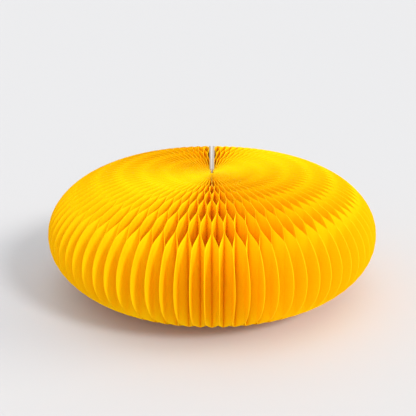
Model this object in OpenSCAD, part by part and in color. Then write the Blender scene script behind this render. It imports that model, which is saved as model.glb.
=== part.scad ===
// Flattened paper honeycomb decoration, fanned open round an upright spine.
// Stiff paper leaves stand round the spine between two board covers. Neighbouring leaves are
// glued together along upright strips whose planes alternate from one ring to the next, so
// the leaves open into cells as the fan is spread, and fold flat as it is closed.
// The origin is at the middle of the underside and +Z is up. The slit where the two covers
// nearly meet is at the back, towards +Y, and the leaves are numbered anticlockwise from it.

/* [Overall] */
// Diameter of the opened fan
overall_d = 200; // [180:1:220]
// Half height of the dome before the hollow round the spine is taken out of it
crown_h = 54.7; // [48:0.1:60]
// How sharply the dome turns over towards the rim
crown_power = 1.5; // [1.4:0.05:1.9]
// How full the rim is, 2 for an ellipse
rim_power = 2.08; // [1.9:0.01:2.3]
// Depth of the hollow round the spine
hollow_h = 19.6; // [14:0.1:22]
// Reach of that hollow, as a share of the radius
hollow_reach = 0.532; // [0.45:0.001:0.6]
// Height pressed flat where the underside rests
base_flat = 0.15; // [0.1:0.01:0.5]

/* [Leaves] */
// Paper leaves between the two covers
leaf_count = 156; // [132:4:164]
// Thickness of the paper
paper_t = 0.1; // [0.08:0.01:0.11]
// Thickness of the glue film between two leaves
glue_t = 0.02; // [0.01:0.01:0.03]
// Radius of the leaves' inner edges
inner_r = 4.2; // [4.2:0.1:5]
// Radius of the middle of the innermost glued strip
first_strip_r = 7.8; // [7:0.1:9]
// Distance from one glued strip to the next
strip_pitch = 14.1; // [13:0.1:14.3]
// Width of a glued strip
strip_w = 5.4; // [5:0.1:8.4]
// How far the spread leans from the front and the slit towards the flanks, in degrees
lean_to_flanks = 1.4; // [0:0.1:1.6]
// How far the leaves bunch up at the front, the flanks and the slit, in degrees
bunching = 0.9; // [0:0.1:1]

/* [Covers] */
// Thickness of the board covers
board_t = 1.2; // [0.8:0.1:1.3]
// Angle of the slit between the covers' inner faces
slit_deg = 1.26; // [1:0.01:3]
// Distance from the spine's axis to the covers' inner edges
cover_inner_r = 6.5; // [6.5:0.1:7.5]

/* [Spine cord] */
// Diameter of the cord down the middle of the spine
cord_d = 2; // [1:0.1:2.4]
// Length of the cord, knots included
cord_length = 52; // [30:1:58]
// Diameter of the knot at each end
knot_d = 4.4; // [3:0.1:4.8]

/* [Closure dots] */
// Diameter of the two closure dots that hold the covers together
dot_d = 10; // [6:0.5:14]
// Thickness of each closure dot
dot_t = 0.66; // [0.4:0.01:0.68]
// Distance of the closure dots from the spine's axis
dot_r = 70; // [66:1:80]
// Height of the closure dots above the table
dot_z = 19; // [14:1:24]

/* [Hidden] */
rim_r = overall_d / 2;
strip_count = 7;                 // glued strips between the spine and the rim
bundle_leaves = 4;               // leaves that fold as one bundle
bundle_count = leaf_count / bundle_leaves;
profile_steps = 20;              // straight steps along the leaf's outline, spine to rim
slit_at = 90;                    // direction of the slit, from +X
leaf_reach = 10;                 // half length of the block that cuts a leaf to its outline
leaf_colour = [1, 0.75, 0.02];
board_colour = [0.78, 0.75, 0.71];
cord_colour = [0.92, 0.72, 0.15];
$fn = 48;

function bundle_name(b) = str("leaf_bundle_", b < 10 ? "0" : "", b);

// ---------- outline of one leaf, in a plane through the spine ----------

// Half height of a leaf at a radius: a full-rimmed dome less the hollow round the spine.
function half_height(r) = let (u = r / rim_r)
    crown_h * pow(max(0, 1 - pow(u, crown_power)), 1 / rim_power)
    - hollow_h * exp(-pow(u / hollow_reach, 2)) * (1 - pow(u, 8));

// Radii along the outline, closer together towards the rim.
function outline_r(i) = max(inner_r, rim_r * sin(90 * i / profile_steps));

top_half = max([for (i = [1 : profile_steps]) half_height(outline_r(i))]);
mid_z = top_half - base_flat;    // height of the leaves' level of symmetry above the table

// Outline from a radius outwards, with the underside cut flat at the table.
function outline(from_r) = let (
        radii = concat([from_r], [for (i = [1 : profile_steps]) if (outline_r(i) > from_r + 1) outline_r(i)]),
        last = len(radii) - 1
    ) concat(
        [for (i = [0 : last]) [radii[i], mid_z + half_height(radii[i])]],
        [for (i = [last - 1 : -1 : 0]) [radii[i], max(0, mid_z - half_height(radii[i]))]]
    );

// Stands an outline up in the plane at an angle, and gives it a thickness on both sides.
module upright_plate(angle, from_r, reach) {
    rotate([90, 0, angle]) linear_extrude(2 * reach, center = true) polygon(outline(from_r));
}

// ---------- where the leaves run, seen from above ----------

// Angle from the slit's middle to a cover's outer face, which leans off the radius.
function cover_angle(r) = slit_deg / 2 + asin(board_t / r);

// The fan isn't spread quite evenly. turn is measured from the slit, and both terms end at 0.
function uneven(turn) = -lean_to_flanks * sin(turn) - bunching * sin(4 * turn);

// Angle of a glue plane: plane 0 is the fixed cover's outer face and the last is the moving one's.
function plane_angle(p, r) = let (edge = cover_angle(r))
    slit_at + edge + p / leaf_count * (360 - 2 * edge) + uneven(360 * p / leaf_count);

// A leaf is glued on its near side or its far side by turns, from strip to strip.
function glue_plane(leaf, strip) = leaf + (leaf + strip + 1) % 2;

// A point beside a glue plane, moved off it along the tangent.
function beside_plane(p, r, off) = let (a = plane_angle(p, r))
    [r * cos(a) - off * sin(a), r * sin(a) + off * cos(a)];

function strip_r(s) = first_strip_r + strip_pitch * s;

// Both ends of one glued strip of a leaf. off_face is the face's distance from the glue.
function strip_ends(leaf, s, off_face) = let (
        p = glue_plane(leaf, s),
        off = (p == leaf ? 1 : -1) * off_face,
        from_r = s == 0 ? inner_r : strip_r(s) - strip_w / 2,
        to_r = s == strip_count - 1 ? rim_r + 1 : strip_r(s) + strip_w / 2
    ) [beside_plane(p, from_r, off), beside_plane(p, to_r, off)];

// One face of the leaf from the spine to the rim. side is -1 or 1, clockwise or anticlockwise.
function leaf_face(leaf, side) = [
    for (s = [0 : strip_count - 1])
        let (turn = glue_plane(leaf, s) == leaf ? side : -side)
        for (point = strip_ends(leaf, s, glue_t / 2 + paper_t * (1 + turn) / 2)) point
];

function reversed(list) = [for (i = [len(list) - 1 : -1 : 0]) list[i]];

// ---------- pieces ----------

// One folded leaf: a zigzag sheet seen from above, cut to the outline.
module leaf(k) {
    middle = plane_angle(k + 0.5, rim_r);
    intersection() {
        linear_extrude(2 * top_half + 1)
            polygon(concat(leaf_face(k, -1), reversed(leaf_face(k, 1))));
        upright_plate(middle, inner_r - 1, leaf_reach);
    }
}

// Leaves that fold together, each a separate sheet.
module leaf_bundle(b) {
    color(leaf_colour)
        for (k = [(b - 1) * bundle_leaves : b * bundle_leaves - 1]) leaf(k);
}

// A cover is a flat board with the leaves' outline. side is 1 for the fixed one, -1 for the moving one.
module cover(side) {
    color(board_colour)
        rotate(slit_at + side * slit_deg / 2)
            translate([0, side * board_t / 2, 0])
                upright_plate(0, cover_inner_r, board_t / 2 - glue_t / 2);
}

module fixed_cover() { cover(1); }

module moving_cover() { cover(-1); }

// The cord down the spine, with a knot at each end, sunk in the bore that the leaves leave.
module spine_cord() {
    knot_z = (cord_length - knot_d) / 2;
    color(cord_colour) translate([0, 0, mid_z]) {
        cylinder(d = cord_d, h = 2 * knot_z, center = true);
        for (z = [-knot_z, knot_z]) translate([0, 0, z]) sphere(d = knot_d);
    }
}

// Each dot is stuck to a cover's inner face and reaches nearly to the middle of the slit.
module closure_dot(side) {
    color("whitesmoke")
        rotate(slit_at + side * slit_deg / 2)
            translate([dot_r, 0, dot_z])
                rotate([90 * side, 0, 0]) cylinder(d = dot_d, h = dot_t);
}

module fixed_closure_dot() { closure_dot(1); }

module moving_closure_dot() { closure_dot(-1); }

fixed_cover();
moving_cover();
spine_cord();
fixed_closure_dot();
moving_closure_dot();
for (b = [1 : bundle_count]) leaf_bundle(b);
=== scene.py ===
"""Flattened paper honeycomb decoration: smooth paper leaves, board covers, cord and dots."""
import math
import random

import bpy
import numpy as np
from mathutils import Matrix, Vector


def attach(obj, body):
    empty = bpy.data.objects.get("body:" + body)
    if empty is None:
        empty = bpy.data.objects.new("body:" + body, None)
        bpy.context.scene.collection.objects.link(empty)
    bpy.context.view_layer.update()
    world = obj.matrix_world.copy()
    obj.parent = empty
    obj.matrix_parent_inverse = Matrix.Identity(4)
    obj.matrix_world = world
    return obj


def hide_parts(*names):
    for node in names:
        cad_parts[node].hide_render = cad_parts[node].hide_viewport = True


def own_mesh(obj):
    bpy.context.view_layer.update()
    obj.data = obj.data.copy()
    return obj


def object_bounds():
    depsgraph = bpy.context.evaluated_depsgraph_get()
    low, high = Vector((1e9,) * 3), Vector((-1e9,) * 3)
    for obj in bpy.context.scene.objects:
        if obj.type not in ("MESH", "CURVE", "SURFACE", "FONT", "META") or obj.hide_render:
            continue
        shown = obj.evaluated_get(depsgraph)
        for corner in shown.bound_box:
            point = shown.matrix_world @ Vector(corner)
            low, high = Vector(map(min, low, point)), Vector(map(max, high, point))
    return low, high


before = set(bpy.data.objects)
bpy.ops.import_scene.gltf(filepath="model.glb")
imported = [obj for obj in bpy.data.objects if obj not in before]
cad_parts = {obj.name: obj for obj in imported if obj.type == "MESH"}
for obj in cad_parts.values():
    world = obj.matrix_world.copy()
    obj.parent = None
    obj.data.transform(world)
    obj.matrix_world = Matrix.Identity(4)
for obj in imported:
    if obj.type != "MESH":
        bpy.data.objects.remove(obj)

CAD_LOW, CAD_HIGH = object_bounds()

# ---------- sizes, in metres: from the CAD's box, or the same as in the CAD's source ----------

MM = 0.001
RIM_R = (CAD_HIGH.x - CAD_LOW.x) / 2
BASE_FLAT = 0.15 * MM                     # height pressed flat where the underside rests
MID_Z = (CAD_HIGH.z - BASE_FLAT) / 2      # the leaves' level of symmetry

CROWN_H, CROWN_POWER, RIM_POWER = 0.547 * RIM_R, 1.5, 2.08
HOLLOW_H, HOLLOW_REACH = 0.196 * RIM_R, 0.532

BUNDLES = [n for n in sorted(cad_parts) if n.startswith("leaf_bundle_")]
BUNDLE_LEAVES = 4
LEAF_COUNT = BUNDLE_LEAVES * len(BUNDLES)
LEAN_TO_FLANKS = math.radians(1.4)        # how unevenly the open fan is spread
BUNCHING = math.radians(0.9)
PAPER_T = 0.12 * MM                       # a little over the CAD's 0.1 mm
GLUE_T = 0.02 * MM
INNER_R = 4.2 * MM                        # inner edge of the leaves
TIP_R = 1.3 * MM                          # the same at their top and bottom corners
MOST_FILLED = 0.85                        # most of the room at a radius that the leaves may fill
FIRST_STRIP_R = 7.8 * MM
STRIP_PITCH = 14.1 * MM
STRIP_HALF = 2.7 * MM
STRIP_COUNT = 7

BOARD_T = 1.2 * MM
BOARD_EDGE = 0.22 * MM                    # rounding of the boards' cut edges
BOARD_STEPS = 72                          # steps along a board's outline, spine to rim
SLIT_ANGLE = math.radians(1.26)
SLIT_AT = math.radians(90)
COVER_INNER_R = 6.5 * MM

CORD_R = 1.0 * MM
CORD_LENGTH = 52 * MM
CORD_STRANDS = 3
STRAND_R = 0.464 * CORD_R                 # three such strands just touch inside the cord
STRAND_REACH = CORD_R - STRAND_R
STRAND_PITCH = 5 * MM
KNOT_R = 2.2 * MM
KNOT_STRAND_R = 0.62 * MM

DOT_R = 5.0 * MM
DOT_T = 0.66 * MM
DOT_AT = 70 * MM
DOT_Z = 19 * MM
DOT_SIDES = 72
DOT_RINGS = 24                            # rings of loops or hooks between its edge and middle
DOT_EDGE = ((0.0, 0.97), (0.35, 1.0), (0.6, 0.985), (0.72, 0.95))    # (depth, reach) shares
LOOPS_ROUND, HOOKS_ROUND = 18, 12


# ---------- where the leaves run ----------

def half_height(r):
    """Half height of a leaf at a radius: a full-rimmed dome less the hollow round the spine."""
    u = np.clip(np.asarray(r, float) / RIM_R, 0, 1)
    dome = CROWN_H * (1 - u ** CROWN_POWER) ** (1 / RIM_POWER)
    return dome - HOLLOW_H * np.exp(-(u / HOLLOW_REACH) ** 2) * (1 - u ** 8)


def cover_angle(r):
    """Angle from the slit's middle to a cover's outer face, which leans off the radius."""
    return SLIT_ANGLE / 2 + np.arcsin(BOARD_T / np.asarray(r, float))


def plane_angle(p, r):
    """Angle of glue plane p, from 0 at the fixed cover to LEAF_COUNT at the moving one."""
    edge = cover_angle(r)
    share = p / LEAF_COUNT
    turn = 2 * math.pi * share
    uneven = -LEAN_TO_FLANKS * np.sin(turn) - BUNCHING * np.sin(4 * turn)
    return SLIT_AT + edge + share * (2 * math.pi - 2 * edge) + uneven


def glue_plane(leaf, strip):
    """The plane that a leaf is glued at: its near side or its far side by turns."""
    return leaf + (leaf + strip + 1) % 2


class Columns:
    """The upright lines of every leaf's mesh: radius, the strips it lies between, and how far."""

    WALL_STEPS, STRIP_STEPS, RIM_STEPS = 7, 2, 9
    WAVE = 0.55                            # 0 for straight walls between strips, 1 for a full wave

    def __init__(self):
        self.r, self.a, self.b, self.w = [], [], [], []
        for s in range(STRIP_COUNT - 1):
            self.strip_and_wall(s)
        last = STRIP_COUNT - 1
        start = FIRST_STRIP_R + STRIP_PITCH * last - STRIP_HALF
        for i in range(self.RIM_STEPS + 1):
            share = math.sin(math.pi / 2 * i / self.RIM_STEPS)
            self.add(start + (RIM_R - start) * share, last, last, 0)
        self.r, self.w = np.array(self.r), np.array(self.w)

    def strip_and_wall(self, s):
        """The lines across glued strip s, and across the wall from it to the next strip."""
        middle = FIRST_STRIP_R + STRIP_PITCH * s
        start = INNER_R if s == 0 else middle - STRIP_HALF
        end = middle + STRIP_HALF
        for i in range(self.STRIP_STEPS + 1):
            self.add(start + (end - start) * i / self.STRIP_STEPS, s, s, 0)
        gap = STRIP_PITCH - 2 * STRIP_HALF
        for i in range(1, self.WALL_STEPS):
            t = i / self.WALL_STEPS
            ease = (1 - self.WAVE) * t + self.WAVE * t * t * (3 - 2 * t)
            self.add(end + gap * t, s, s + 1, ease)

    def add(self, r, a, b, w):
        self.r.append(r)
        self.a.append(a)
        self.b.append(b)
        self.w.append(w)


COLUMNS = Columns()
ROWS = 10                                  # steps up each leaf
SWAY_SEED = 7
SWAY_SPREAD = (0.16 * MM, 0.12 * MM, 0.14 * MM)      # of each plane's shift, tilt and bow
SWAY_POWER = 2.5                           # how quickly the sway grows towards the rim


def sway_table():
    """Small uneven shifts of each glue plane at the rim. The covers' own planes stay true."""
    rng = random.Random(SWAY_SEED)
    table = np.array([[rng.gauss(0, spread) for spread in SWAY_SPREAD] for _ in range(LEAF_COUNT + 1)])
    table[0] = table[-1] = 0
    return table


SWAY = sway_table()


def plane_shift(planes, level):
    """How far glue planes sway sideways at the rim. level runs from -1 at the table to 1."""
    shift, tilt, bow = (SWAY[planes][:, i:i + 1] for i in range(3))
    return shift + tilt * level + bow * level ** 2


def leaf_surface(k):
    """The middle surface of leaf k as [column, row] points, its sideways normals and thickness."""
    c = COLUMNS
    near = np.array([glue_plane(k, s) for s in c.a])
    far = np.array([glue_plane(k, s) for s in c.b])
    angle = ((1 - c.w) * plane_angle(near, c.r) + c.w * plane_angle(far, c.r))[:, None]
    r = np.repeat(c.r[:, None], ROWS + 1, 1)
    r[0, [0, -1]] = TIP_R
    room = 2 * math.pi * r / LEAF_COUNT
    face = (1 - c.w) * np.where(near == k, 1, -1) + c.w * np.where(far == k, 1, -1)
    off = np.minimum((GLUE_T + PAPER_T) / 2, room / 2) * face[:, None]

    v = np.linspace(0, 1, ROWS + 1)
    half = half_height(c.r)
    top = MID_Z + half
    low = np.maximum(0, MID_Z - half)
    z = low[:, None] + (top - low)[:, None] * v[None, :]
    level = (z - MID_Z) / MID_Z

    w = c.w[:, None]
    sway = (1 - w) * plane_shift(near, level) + w * plane_shift(far, level)
    side = off + sway * (c.r[:, None] / RIM_R) ** SWAY_POWER
    x = r * np.cos(angle) - side * np.sin(angle)
    y = r * np.sin(angle) + side * np.cos(angle)
    points = np.stack([x, y, z], -1)

    along = np.gradient(points[..., :2], axis=0)
    normal = np.stack([-along[..., 1], along[..., 0], np.zeros_like(z)], -1)
    normal /= np.linalg.norm(normal, axis=-1, keepdims=True)
    return points, normal, np.minimum(PAPER_T, MOST_FILLED * room)


# ---------- mesh helpers ----------

SHARP_DEG = 35                             # folds sharper than this show as creases


def make_object(name, points, faces, material, sharp_deg=SHARP_DEG, edge_faces=(), edge_material=None):
    """A smooth-shaded mesh object, with a second material on the listed faces."""
    mesh = bpy.data.meshes.new(name)
    mesh.from_pydata([tuple(p) for p in points], [], faces)
    mesh.validate()
    mesh.materials.append(material)
    if edge_material:
        mesh.materials.append(edge_material)
        index = np.zeros(len(mesh.polygons), np.int32)
        index[list(edge_faces)] = 1
        mesh.polygons.foreach_set("material_index", index)
    mesh.shade_smooth()
    mesh.set_sharp_from_angle(angle=math.radians(sharp_deg))
    mesh.update()
    obj = bpy.data.objects.new(name, mesh)
    bpy.context.scene.collection.objects.link(obj)
    return obj


def shell(points, normal, thickness, first):
    """A closed thin sheet round a middle surface: its points, faces and which faces are cut edges."""
    cols, rows = points.shape[:2]
    half = normal * thickness[..., None] / 2
    sides = [points + half, points - half]
    flat = np.concatenate([s.reshape(-1, 3) for s in sides])

    def at(side, c, r):
        return first + side * cols * rows + c * rows + r

    faces, cut = [], []
    for c in range(cols - 1):
        tip = c == cols - 2                # where the sheet narrows to a point at the rim
        for r in range(rows - 1):
            front = [at(0, c, r), at(0, c, r + 1), at(0, c + 1, r + 1), at(0, c + 1, r)]
            back = [at(1, c, r), at(1, c + 1, r), at(1, c + 1, r + 1), at(1, c, r + 1)]
            if tip:
                front = [front[0], front[1], at(0, c + 1, 0)]
                back = [back[0], at(1, c + 1, 0), back[3]]
            faces += [front, back]
        last = 0 if tip else rows - 1
        cut.append(len(faces))
        faces.append([at(0, c, rows - 1), at(1, c, rows - 1), at(1, c + 1, last), at(0, c + 1, last)])
        cut.append(len(faces))
        faces.append([at(0, c, 0), at(0, c + 1, 0), at(1, c + 1, 0), at(1, c, 0)])
    for r in range(rows - 1):
        cut.append(len(faces))
        faces.append([at(0, 0, r), at(1, 0, r), at(1, 0, r + 1), at(0, 0, r + 1)])
    return flat, faces, cut


def drop_unused(points, faces):
    """Leaves out the points that no face uses."""
    points = np.asarray(points)
    used = np.zeros(len(points), bool)
    used[[i for f in faces for i in f]] = True
    number = np.cumsum(used) - 1
    return points[used], [[int(number[i]) for i in f] for f in faces]


# ---------- materials ----------

TONE_START, TONE_END = 0.3, 0.7            # noise below and above these is all low or all high
LIGHT_THROUGH = 0.32                       # share of the light that the paper lets through
UPRIGHT = (1, 1, 0.3)                      # stretches a noise into upright fibres


def new_material(name):
    """A material with its nodes, links, Principled shader and output."""
    material = bpy.data.materials.new(name)
    material.use_nodes = True
    nodes, links = material.node_tree.nodes, material.node_tree.links
    return material, nodes, links, nodes["Principled BSDF"], nodes["Material Output"]


def noise(nodes, links, scale, detail, stretch=None):
    """Noise in the object's own metres, so its grain is the same size everywhere."""
    place = nodes.new("ShaderNodeTexCoord")
    tex = nodes.new("ShaderNodeTexNoise")
    tex.inputs["Scale"].default_value = scale
    tex.inputs["Detail"].default_value = detail
    source = place.outputs["Object"]
    if stretch:
        mapping = nodes.new("ShaderNodeMapping")
        mapping.inputs["Scale"].default_value = stretch
        links.new(source, mapping.inputs["Vector"])
        source = mapping.outputs["Vector"]
    links.new(source, tex.inputs["Vector"])
    return tex.outputs["Fac"]


def tone(nodes, links, fac, low, high):
    """A colour that runs from low to high with fac."""
    ramp = nodes.new("ShaderNodeValToRGB")
    ramp.color_ramp.elements[0].position = TONE_START
    ramp.color_ramp.elements[1].position = TONE_END
    ramp.color_ramp.elements[0].color = (*low, 1)
    ramp.color_ramp.elements[1].color = (*high, 1)
    links.new(fac, ramp.inputs["Fac"])
    return ramp.outputs["Color"]


def bump(nodes, links, height, shader, strength, distance):
    """Relief on a shader from a height."""
    node = nodes.new("ShaderNodeBump")
    node.inputs["Strength"].default_value = strength
    node.inputs["Distance"].default_value = distance
    links.new(height, node.inputs["Height"])
    links.new(node.outputs["Normal"], shader.inputs["Normal"])


def paper_material(name, low, high, through):
    """Dyed paper: mottled tone, a relief of upright fibres, and light that comes through it."""
    material, nodes, links, shader, out = new_material(name)
    shader.inputs["Roughness"].default_value = 0.6
    shader.inputs["Specular IOR Level"].default_value = 0.05
    mottle = noise(nodes, links, scale=900, detail=5)
    links.new(tone(nodes, links, mottle, low, high), shader.inputs["Base Color"])
    fibres = noise(nodes, links, scale=3200, detail=3, stretch=UPRIGHT)
    bump(nodes, links, fibres, shader, strength=0.12, distance=0.03 * MM)
    glow = nodes.new("ShaderNodeBsdfTranslucent")
    glow.inputs["Color"].default_value = (*through, 1)
    mix = nodes.new("ShaderNodeMixShader")
    mix.inputs["Fac"].default_value = LIGHT_THROUGH
    links.new(shader.outputs["BSDF"], mix.inputs[1])
    links.new(glow.outputs["BSDF"], mix.inputs[2])
    links.new(mix.outputs["Shader"], out.inputs["Surface"])
    return material


def plain_material(name, low, high, roughness, grain, stretch, relief):
    """A matt fibrous surface: a tone that varies with its grain, and the grain's relief."""
    material, nodes, links, shader, _ = new_material(name)
    shader.inputs["Roughness"].default_value = roughness
    shader.inputs["Specular IOR Level"].default_value = 0.25
    fibres = noise(nodes, links, grain, detail=6, stretch=stretch)
    links.new(tone(nodes, links, fibres, low, high), shader.inputs["Base Color"])
    bump(nodes, links, fibres, shader, strength=0.5, distance=relief)
    return material


PAPER = paper_material(
    "yellow_paper", low=(0.985, 0.77, 0.002), high=(0.995, 0.80, 0.003), through=(0.999, 0.74, 0.001))
PAPER_CUT = paper_material(
    "yellow_paper_cut", low=(0.97, 0.74, 0.003), high=(0.98, 0.77, 0.004), through=(0.99, 0.72, 0.002))
BOARD = plain_material(
    "grey_board", low=(0.42, 0.36, 0.30), high=(0.58, 0.51, 0.44),
    roughness=0.85, grain=1500, stretch=None, relief=0.05 * MM)
BOARD_CUT = plain_material(
    "grey_board_cut", low=(0.34, 0.28, 0.22), high=(0.54, 0.46, 0.38),
    roughness=0.95, grain=2600, stretch=UPRIGHT, relief=0.08 * MM)
CORD = plain_material(
    "cotton_cord", low=(0.80, 0.46, 0.02), high=(0.95, 0.60, 0.05),
    roughness=0.9, grain=3000, stretch=UPRIGHT, relief=0.04 * MM)
LOOPS = plain_material(
    "closure_loops", low=(0.72, 0.71, 0.68), high=(0.90, 0.89, 0.86),
    roughness=0.9, grain=4000, stretch=None, relief=0.06 * MM)


# ---------- pieces ----------

def leaf_bundle(index, name):
    """The leaves of one bundle, built as one mesh on that bundle's body."""
    points, faces, cut = [], [], []
    for k in range(index * BUNDLE_LEAVES, (index + 1) * BUNDLE_LEAVES):
        flat, new_faces, new_cut = shell(*leaf_surface(k), sum(len(p) for p in points))
        cut += [len(faces) + c for c in new_cut]
        faces += new_faces
        points.append(flat)
    points, faces = drop_unused(np.concatenate(points), faces)
    obj = make_object("leaves_" + name[-2:], points, faces, PAPER,
                      edge_faces=cut, edge_material=PAPER_CUT)
    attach(obj, name)
    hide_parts(name)
    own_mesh(obj)


def board_outline():
    """A cover's outline as (radius, height) points: out along the top, round the rim and back."""
    span = [math.sin(math.pi / 2 * i / BOARD_STEPS) for i in range(BOARD_STEPS + 1)]
    radii = [COVER_INNER_R + (RIM_R - COVER_INNER_R) * t for t in span]
    top = [(r, MID_Z + float(half_height(r))) for r in radii]
    under = [(r, max(0.0, MID_Z - float(half_height(r)))) for r in reversed(radii[:-1])]
    return np.array(top + under)


def drawn_in(outline, amount):
    """The outline moved inwards by an amount."""
    along = np.roll(outline, -1, 0) - np.roll(outline, 1, 0)
    inwards = np.stack([along[:, 1], -along[:, 0]], -1)
    return outline + amount * inwards / np.linalg.norm(inwards, axis=1, keepdims=True)


def stacked_rings(rings):
    """Faces between rings of equal length, from first to last, with a cap on both ends."""
    count = len(rings[0])
    last = (len(rings) - 1) * count
    faces = []
    for first in range(0, last, count):
        for i in range(count):
            after = (i + 1) % count
            faces.append([first + count + i, first + count + after, first + after, first + i])
    return faces + [list(range(count)), list(reversed(range(last, last + count)))]


def beside_slit(points, side):
    """Stands (radius, height, depth) points up beside the slit. side is 1 or -1, as in the CAD."""
    angle = SLIT_AT + side * SLIT_ANGLE / 2
    r, z, depth = np.asarray(points).T
    x = r * math.cos(angle) - side * depth * math.sin(angle)
    y = r * math.sin(angle) + side * depth * math.cos(angle)
    return np.stack([x, y, z], -1)


def cover(name, node, body, side):
    """A die-cut board with pressed, slightly rounded edges."""
    outline, gap = board_outline(), GLUE_T / 2
    rings = []
    for depth, inset in ((0, 1), (0.3, 0.3), (1, 0)):
        ring = drawn_in(outline, inset * BOARD_EDGE)
        rings.append(np.column_stack([ring, np.full(len(ring), gap + depth * BOARD_EDGE)]))
    for ring in reversed(rings[:]):
        rings.append(np.column_stack([ring[:, :2], BOARD_T - ring[:, 2]]))
    faces = stacked_rings(rings)
    if side < 0:
        faces = [face[::-1] for face in faces]
    rim = range(len(faces) - 2)
    obj = make_object(name, beside_slit(np.concatenate(rings), side), faces, BOARD,
                      sharp_deg=50, edge_faces=rim, edge_material=BOARD_CUT)
    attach(obj, body)
    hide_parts(node)


def tube(path, radius, sides=10, closed=False):
    """A round tube along a path, as points and faces."""
    path = np.asarray(path)
    ahead = np.roll(path, -1, 0) - np.roll(path, 1, 0)
    if not closed:
        ahead[0], ahead[-1] = path[1] - path[0], path[-1] - path[-2]
    ahead /= np.linalg.norm(ahead, axis=1, keepdims=True)
    side = np.cross(ahead, (0, 0, 1))
    upright = np.linalg.norm(side, axis=1) < 0.01
    side[upright] = (1, 0, 0)
    side /= np.linalg.norm(side, axis=1, keepdims=True)
    other = np.cross(ahead, side)
    turn = 2 * math.pi * np.arange(sides) / sides
    rings = path[:, None] + radius * (np.cos(turn)[None, :, None] * side[:, None]
                                      + np.sin(turn)[None, :, None] * other[:, None])
    faces = stacked_rings(rings)
    if closed:
        faces, last = faces[:-2], (len(path) - 1) * sides
        faces += [[i, (i + 1) % sides, last + (i + 1) % sides, last + i] for i in range(sides)]
    return rings.reshape(-1, 3), faces


def strand(phase, half_length):
    """One strand of the twisted cord, as a helix round the spine."""
    steps_a_turn = 16
    steps = int(half_length * 2 / STRAND_PITCH * steps_a_turn)
    z = np.linspace(-half_length, half_length, steps + 1)
    turn = phase + 2 * math.pi * z / STRAND_PITCH
    return np.stack([STRAND_REACH * np.cos(turn), STRAND_REACH * np.sin(turn), MID_Z + z], -1)


def knot(centre_z):
    """The middle line of the cord's overhand knot, a trefoil drawn tight."""
    steps, rise = 96, 1.6
    turn = 2 * math.pi * np.arange(steps) / steps
    reach = (KNOT_R - KNOT_STRAND_R) / 3
    x = reach * (np.sin(turn) + 2 * np.sin(2 * turn))
    y = reach * (np.cos(turn) - 2 * np.cos(2 * turn))
    z = centre_z - rise * reach * np.sin(3 * turn)
    return np.stack([x, y, z], -1)


def spine_cord():
    """Twisted strands down the spine, with a knot at each end."""
    knot_z = CORD_LENGTH / 2 - KNOT_R
    phases = [2 * math.pi * i / CORD_STRANDS for i in range(CORD_STRANDS)]
    parts = [tube(strand(phase, knot_z), STRAND_R) for phase in phases]
    parts += [tube(knot(MID_Z + z), KNOT_STRAND_R, sides=12, closed=True) for z in (-knot_z, knot_z)]
    points, faces = [], []
    for part_points, part_faces in parts:
        first = sum(len(p) for p in points)
        points.append(part_points)
        faces += [[first + i for i in face] for face in part_faces]
    obj = make_object("spine_cord_twist", np.concatenate(points), faces, CORD, sharp_deg=60)
    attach(obj, "fixed_cover")
    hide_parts("spine_cord")


def ring_at(reach, depth):
    """A ring of the dot's points as (radius, height, depth)."""
    turn = 2 * math.pi * np.arange(DOT_SIDES) / DOT_SIDES
    depths = np.broadcast_to(depth, DOT_SIDES)
    return np.stack([DOT_AT + reach * np.cos(turn), DOT_Z + reach * np.sin(turn), depths], -1)


def closure_dot(name, node, body, side, bumps):
    """A fabric dot stuck to a cover's inner face, with rings of loops or hooks on its own face."""
    rings = [ring_at(DOT_R * reach, DOT_T * depth) for depth, reach in DOT_EDGE]
    face_reach, face_depth = 0.95, 0.74
    turn = 2 * math.pi * np.arange(DOT_SIDES) / DOT_SIDES
    for i in range(1, DOT_RINGS):
        lift = 0.5 + 0.5 * np.cos(turn * bumps) * (-1) ** i
        depth = face_depth + (1 - face_depth) * lift
        rings.append(ring_at(DOT_R * face_reach * (1 - i / DOT_RINGS), DOT_T * depth))
    faces = stacked_rings(rings)
    points = np.concatenate(rings)
    points[:, 2] *= -1
    if side < 0:
        faces = [face[::-1] for face in faces]
    obj = make_object(name, beside_slit(points, side), faces, LOOPS, sharp_deg=70)
    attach(obj, body)
    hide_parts(node)


for number, bundle in enumerate(BUNDLES):
    leaf_bundle(number, bundle)
cover("fixed_cover_board", "fixed_cover", "fixed_cover", 1)
cover("moving_cover_board", "moving_cover", "moving_cover", -1)
spine_cord()
closure_dot("fixed_dot_loops", "fixed_closure_dot", "fixed_cover", 1, LOOPS_ROUND)
closure_dot("moving_dot_hooks", "moving_closure_dot", "moving_cover", -1, HOOKS_ROUND)


# ---------- floor, light and camera ----------

def floor():
    """A wide pale table top at the height that the decoration stands on."""
    material, _, _, shader, _ = new_material("pale_floor")
    shader.inputs["Base Color"].default_value = (0.578, 0.590, 0.610, 1)
    shader.inputs["Roughness"].default_value = 0.7
    shader.inputs["Specular IOR Level"].default_value = 0.2
    half = 40.0
    corners = [(-half, -half, 0), (half, -half, 0), (half, half, 0), (-half, half, 0)]
    obj = make_object("floor", corners, [[0, 1, 2, 3]], material)
    obj.location.z = CAD_LOW.z


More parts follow.
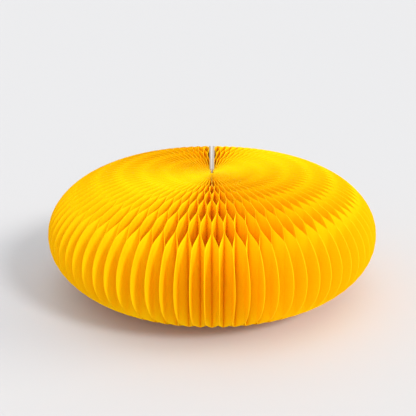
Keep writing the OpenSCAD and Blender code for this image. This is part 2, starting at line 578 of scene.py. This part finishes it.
def sun_light(name, azimuth, elevation, spread, strength, colour):
    """A soft far lamp. Azimuth 0 is the camera's side, 90 the right; spread is its angle across."""
    lamp = bpy.data.lights.new(name, "SUN")
    lamp.angle, lamp.energy, lamp.color = math.radians(spread), strength, colour
    obj = bpy.data.objects.new(name, lamp)
    a, e = math.radians(azimuth), math.radians(elevation)
    towards = Vector((math.sin(a) * math.cos(e), -math.cos(a) * math.cos(e), math.sin(e)))
    obj.rotation_euler = towards.to_track_quat("Z", "Y").to_euler()
    bpy.context.scene.collection.objects.link(obj)


def world_light(colour, strength):
    """An even light from all round."""
    world = bpy.data.worlds.new("studio")
    bpy.context.scene.world = world
    world.use_nodes = True
    world.node_tree.nodes["Background"].inputs["Color"].default_value = (*colour, 1)
    world.node_tree.nodes["Background"].inputs["Strength"].default_value = strength


def camera():
    """Looks down at the decoration from the front, with its middle a little off the picture's."""
    elevation, distance, focal = math.radians(20.78), 5 * RIM_R, 69.65
    lens = bpy.data.cameras.new("camera")
    lens.lens, lens.sensor_width = focal, 36
    lens.clip_start, lens.clip_end = 0.01, 50
    obj = bpy.data.objects.new("camera", lens)
    back = Vector((0, -math.cos(elevation), math.sin(elevation)))
    obj.location = Vector((0, 0, MID_Z)) + back * distance
    aim_down, aim_left = math.radians(-1.295), math.radians(0.278)
    turn = back.to_track_quat("Z", "Y").to_matrix()
    turn = turn @ Matrix.Rotation(-aim_down, 3, "X") @ Matrix.Rotation(aim_left, 3, "Y")
    obj.rotation_euler = turn.to_euler()
    bpy.context.scene.collection.objects.link(obj)
    bpy.context.scene.camera = obj


floor()
world_light((0.98, 0.99, 1.0), 0.80)
NEUTRAL, COOL, WARM = (1, 1, 1), (0.98, 1, 1.05), (1, 0.84, 0.68)
for lamp_name, azimuth, elevation, spread, strength, colour in (
        ("key", 45, 36, 14, 1.65, NEUTRAL),
        ("right_side", 90, 15, 35, 2.1, WARM),
        ("overhead", 0, 88, 40, 0.40, COOL),
        ("front_fill", 0, 20, 35, 0.7, WARM)):
    sun_light(lamp_name, azimuth, elevation, spread, strength, colour)
camera()
bpy.context.scene.view_settings.view_transform = "Standard"
bpy.context.scene.cycles.max_bounces = 32
bpy.context.scene.cycles.diffuse_bounces = 24
bpy.context.scene.cycles.transmission_bounces = 24
